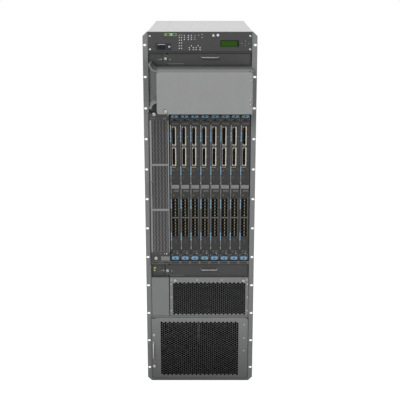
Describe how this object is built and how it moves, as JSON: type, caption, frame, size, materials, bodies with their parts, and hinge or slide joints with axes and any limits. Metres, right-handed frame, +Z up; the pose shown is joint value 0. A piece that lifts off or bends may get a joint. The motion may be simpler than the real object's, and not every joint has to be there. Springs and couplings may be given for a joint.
{
  "type": "core router",
  "caption": "Tall rack-mounted router chassis with sliding line cards, fan trays, a covered cable duct, a mesh door and a honeycomb filter door.",
  "frame": {"origin": "centre of the bounding box at the base", "axes": "+Z up, front with the line cards towards -Y, +X to the right when facing the front"},
  "size_m": [0.4826, 1.014, 1.588],
  "materials": {
    "chassis_paint": "fine satin grey powder coat",
    "flange_paint": "satin mid grey powder coat",
    "panel_paint": "satin dark grey powder coat",
    "cover_paint": "satin mid grey powder coat",
    "card_metal": "dark grey sheet with bare metal cages",
    "bright_metal": "satin bright aluminium",
    "hinge_steel": "plated steel",
    "lever_blue": "moulded grey-blue plastic",
    "display": "green display in a black case",
    "terminal_green": "moulded green plastic",
    "module_dark": "moulded dark module",
    "key_dark": "moulded key caps",
    "filter_foam": "open foam pad in a frame",
    "board_green": "circuit board with solder mask"
  },
  "bodies": {
    "chassis": {"chassis_frame": "chassis_paint", "rack_flanges": "flange_paint", "craft_panel": "panel_paint", "display_module": "display", "relay_terminal_block": "terminal_green", "port_module": "module_dark", "tray_side_panels": "panel_paint", "cable_duct": "cover_paint", "control_boards": "board_green", "lower_blank_panel": "cover_paint", "intake_panel": "cover_paint", "air_filter": "filter_foam", "hinge_pins": "hinge_steel", "midplane_board": "board_green"},
    "upper_fan_tray": {"upper_fan_tray": "panel_paint", "upper_tray_handle": "bright_metal"},
    "lower_fan_tray": {"lower_fan_tray": "panel_paint", "lower_tray_handle": "bright_metal"},
    "cable_cover": {"cable_cover": "cover_paint"},
    "bay_door": {"bay_door": "panel_paint", "bay_door_handle": "bright_metal"},
    "filter_door": {"filter_door": "panel_paint", "filter_door_handle": "bright_metal"},
    "line_card_1": {"line_card_1": "card_metal"},
    "line_card_2": {"line_card_2": "card_metal"},
    "line_card_3": {"line_card_3": "card_metal"},
    "line_card_4": {"line_card_4": "card_metal"},
    "line_card_5": {"line_card_5": "card_metal"},
    "line_card_6": {"line_card_6": "card_metal"},
    "line_card_7": {"line_card_7": "card_metal"},
    "line_card_8": {"line_card_8": "card_metal"},
    "card_1_top_lever": {"card_1_top_lever": "lever_blue"},
    "card_1_bottom_lever": {"card_1_bottom_lever": "lever_blue"},
    "card_2_top_lever": {"card_2_top_lever": "lever_blue"},
    "card_2_bottom_lever": {"card_2_bottom_lever": "lever_blue"},
    "card_3_top_lever": {"card_3_top_lever": "lever_blue"},
    "card_3_bottom_lever": {"card_3_bottom_lever": "lever_blue"},
    "card_4_top_lever": {"card_4_top_lever": "lever_blue"},
    "card_4_bottom_lever": {"card_4_bottom_lever": "lever_blue"},
    "card_5_top_lever": {"card_5_top_lever": "lever_blue"},
    "card_5_bottom_lever": {"card_5_bottom_lever": "lever_blue"},
    "card_6_top_lever": {"card_6_top_lever": "lever_blue"},
    "card_6_bottom_lever": {"card_6_bottom_lever": "lever_blue"},
    "card_7_top_lever": {"card_7_top_lever": "lever_blue"},
    "card_7_bottom_lever": {"card_7_bottom_lever": "lever_blue"},
    "card_8_top_lever": {"card_8_top_lever": "lever_blue"},
    "card_8_bottom_lever": {"card_8_bottom_lever": "lever_blue"},
    "key_up": {"key_up": "key_dark"},
    "key_down": {"key_down": "key_dark"},
    "key_left": {"key_left": "key_dark"},
    "key_right": {"key_right": "key_dark"},
    "key_enter": {"key_enter": "key_dark"},
    "rear_fan_tray": {"rear_fan_tray": "panel_paint"},
    "switch_card_1": {"switch_card_1": "card_metal"},
    "switch_card_2": {"switch_card_2": "card_metal"},
    "switch_card_3": {"switch_card_3": "card_metal"},
    "switch_card_4": {"switch_card_4": "card_metal"},
    "switch_card_5": {"switch_card_5": "card_metal"},
    "power_module_left": {"power_module_left": "panel_paint"},
    "power_module_right": {"power_module_right": "panel_paint"}
  },
  "joints": [
    {"name": "line_card_1_slide", "type": "slide", "parent": "chassis", "child": "line_card_1", "axis": [0, -1, 0], "range_m": [0, 0.3]},
    {"name": "line_card_2_slide", "type": "slide", "parent": "chassis", "child": "line_card_2", "axis": [0, -1, 0], "range_m": [0, 0.3]},
    {"name": "line_card_3_slide", "type": "slide", "parent": "chassis", "child": "line_card_3", "axis": [0, -1, 0], "range_m": [0, 0.3]},
    {"name": "line_card_4_slide", "type": "slide", "parent": "chassis", "child": "line_card_4", "axis": [0, -1, 0], "range_m": [0, 0.3]},
    {"name": "line_card_5_slide", "type": "slide", "parent": "chassis", "child": "line_card_5", "axis": [0, -1, 0], "range_m": [0, 0.3]},
    {"name": "line_card_6_slide", "type": "slide", "parent": "chassis", "child": "line_card_6", "axis": [0, -1, 0], "range_m": [0, 0.3]},
    {"name": "line_card_7_slide", "type": "slide", "parent": "chassis", "child": "line_card_7", "axis": [0, -1, 0], "range_m": [0, 0.3]},
    {"name": "line_card_8_slide", "type": "slide", "parent": "chassis", "child": "line_card_8", "axis": [0, -1, 0], "range_m": [0, 0.3]},
    {"name": "card_1_top_lever_swing", "type": "hinge", "parent": "line_card_1", "child": "card_1_top_lever", "pos_m": [-0.1096, -0.3525, 1.221], "axis": [1, 0, 0], "range_deg": [0, 60]},
    {"name": "card_1_bottom_lever_swing", "type": "hinge", "parent": "line_card_1", "child": "card_1_bottom_lever", "pos_m": [-0.1096, -0.3525, 0.6055], "axis": [-1, 0, 0], "range_deg": [0, 60]},
    {"name": "card_2_top_lever_swing", "type": "hinge", "parent": "line_card_2", "child": "card_2_top_lever", "pos_m": [-0.0661, -0.3525, 1.221], "axis": [1, 0, 0], "range_deg": [0, 60]},
    {"name": "card_2_bottom_lever_swing", "type": "hinge", "parent": "line_card_2", "child": "card_2_bottom_lever", "pos_m": [-0.0661, -0.3525, 0.6055], "axis": [-1, 0, 0], "range_deg": [0, 60]},
    {"name": "card_3_top_lever_swing", "type": "hinge", "parent": "line_card_3", "child": "card_3_top_lever", "pos_m": [-0.0226, -0.3525, 1.221], "axis": [1, 0, 0], "range_deg": [0, 60]},
    {"name": "card_3_bottom_lever_swing", "type": "hinge", "parent": "line_card_3", "child": "card_3_bottom_lever", "pos_m": [-0.0226, -0.3525, 0.6055], "axis": [-1, 0, 0], "range_deg": [0, 60]},
    {"name": "card_4_top_lever_swing", "type": "hinge", "parent": "line_card_4", "child": "card_4_top_lever", "pos_m": [0.0209, -0.3525, 1.221], "axis": [1, 0, 0], "range_deg": [0, 60]},
    {"name": "card_4_bottom_lever_swing", "type": "hinge", "parent": "line_card_4", "child": "card_4_bottom_lever", "pos_m": [0.0209, -0.3525, 0.6055], "axis": [-1, 0, 0], "range_deg": [0, 60]},
    {"name": "card_5_top_lever_swing", "type": "hinge", "parent": "line_card_5", "child": "card_5_top_lever", "pos_m": [0.0644, -0.3525, 1.221], "axis": [1, 0, 0], "range_deg": [0, 60]},
    {"name": "card_5_bottom_lever_swing", "type": "hinge", "parent": "line_card_5", "child": "card_5_bottom_lever", "pos_m": [0.0644, -0.3525, 0.6055], "axis": [-1, 0, 0], "range_deg": [0, 60]},
    {"name": "card_6_top_lever_swing", "type": "hinge", "parent": "line_card_6", "child": "card_6_top_lever", "pos_m": [0.1079, -0.3525, 1.221], "axis": [1, 0, 0], "range_deg": [0, 60]},
    {"name": "card_6_bottom_lever_swing", "type": "hinge", "parent": "line_card_6", "child": "card_6_bottom_lever", "pos_m": [0.1079, -0.3525, 0.6055], "axis": [-1, 0, 0], "range_deg": [0, 60]},
    {"name": "card_7_top_lever_swing", "type": "hinge", "parent": "line_card_7", "child": "card_7_top_lever", "pos_m": [0.1514, -0.3525, 1.221], "axis": [1, 0, 0], "range_deg": [0, 60]},
    {"name": "card_7_bottom_lever_swing", "type": "hinge", "parent": "line_card_7", "child": "card_7_bottom_lever", "pos_m": [0.1514, -0.3525, 0.6055], "axis": [-1, 0, 0], "range_deg": [0, 60]},
    {"name": "card_8_top_lever_swing", "type": "hinge", "parent": "line_card_8", "child": "card_8_top_lever", "pos_m": [0.1949, -0.3525, 1.221], "axis": [1, 0, 0], "range_deg": [0, 60]},
    {"name": "card_8_bottom_lever_swing", "type": "hinge", "parent": "line_card_8", "child": "card_8_bottom_lever", "pos_m": [0.1949, -0.3525, 0.6055], "axis": [-1, 0, 0], "range_deg": [0, 60]},
    {"name": "upper_fan_tray_slide", "type": "slide", "parent": "chassis", "child": "upper_fan_tray", "axis": [0, -1, 0], "range_m": [0, 0.3]},
    {"name": "lower_fan_tray_slide", "type": "slide", "parent": "chassis", "child": "lower_fan_tray", "axis": [0, -1, 0], "range_m": [0, 0.3]},
    {"name": "cable_cover_swing", "type": "hinge", "parent": "chassis", "child": "cable_cover", "pos_m": [0.2114, -0.5028, 1.354], "axis": [0, 0, 1], "range_deg": [0, 95]},
    {"name": "bay_door_swing", "type": "hinge", "parent": "chassis", "child": "bay_door", "pos_m": [-0.1366, -0.3628, 0.915], "axis": [0, 0, 1], "range_deg": [0, 75]},
    {"name": "filter_door_swing", "type": "hinge", "parent": "chassis", "child": "filter_door", "pos_m": [0.2152, -0.3638, 0.161], "axis": [0, 0, 1], "range_deg": [0, 95]},
    {"name": "key_up_press", "type": "slide", "parent": "chassis", "child": "key_up", "axis": [0, 1, 0], "range_m": [0, 0.001], "stiffness_N_per_m": 300},
    {"name": "key_down_press", "type": "slide", "parent": "chassis", "child": "key_down", "axis": [0, 1, 0], "range_m": [0, 0.001], "stiffness_N_per_m": 300},
    {"name": "key_left_press", "type": "slide", "parent": "chassis", "child": "key_left", "axis": [0, 1, 0], "range_m": [0, 0.001], "stiffness_N_per_m": 300},
    {"name": "key_right_press", "type": "slide", "parent": "chassis", "child": "key_right", "axis": [0, 1, 0], "range_m": [0, 0.001], "stiffness_N_per_m": 300},
    {"name": "key_enter_press", "type": "slide", "parent": "chassis", "child": "key_enter", "axis": [0, 1, 0], "range_m": [0, 0.001], "stiffness_N_per_m": 300},
    {"name": "rear_fan_tray_slide", "type": "slide", "parent": "chassis", "child": "rear_fan_tray", "axis": [0, 1, 0], "range_m": [0, 0.3]},
    {"name": "switch_card_1_slide", "type": "slide", "parent": "chassis", "child": "switch_card_1", "axis": [0, 1, 0], "range_m": [0, 0.3]},
    {"name": "switch_card_2_slide", "type": "slide", "parent": "chassis", "child": "switch_card_2", "axis": [0, 1, 0], "range_m": [0, 0.3]},
    {"name": "switch_card_3_slide", "type": "slide", "parent": "chassis", "child": "switch_card_3", "axis": [0, 1, 0], "range_m": [0, 0.3]},
    {"name": "switch_card_4_slide", "type": "slide", "parent": "chassis", "child": "switch_card_4", "axis": [0, 1, 0], "range_m": [0, 0.3]},
    {"name": "switch_card_5_slide", "type": "slide", "parent": "chassis", "child": "switch_card_5", "axis": [0, 1, 0], "range_m": [0, 0.3]},
    {"name": "power_module_left_slide", "type": "slide", "parent": "chassis", "child": "power_module_left", "axis": [0, 1, 0], "range_m": [0, 0.3]},
    {"name": "power_module_right_slide", "type": "slide", "parent": "chassis", "child": "power_module_right", "axis": [0, 1, 0], "range_m": [0, 0.3]}
  ]
}
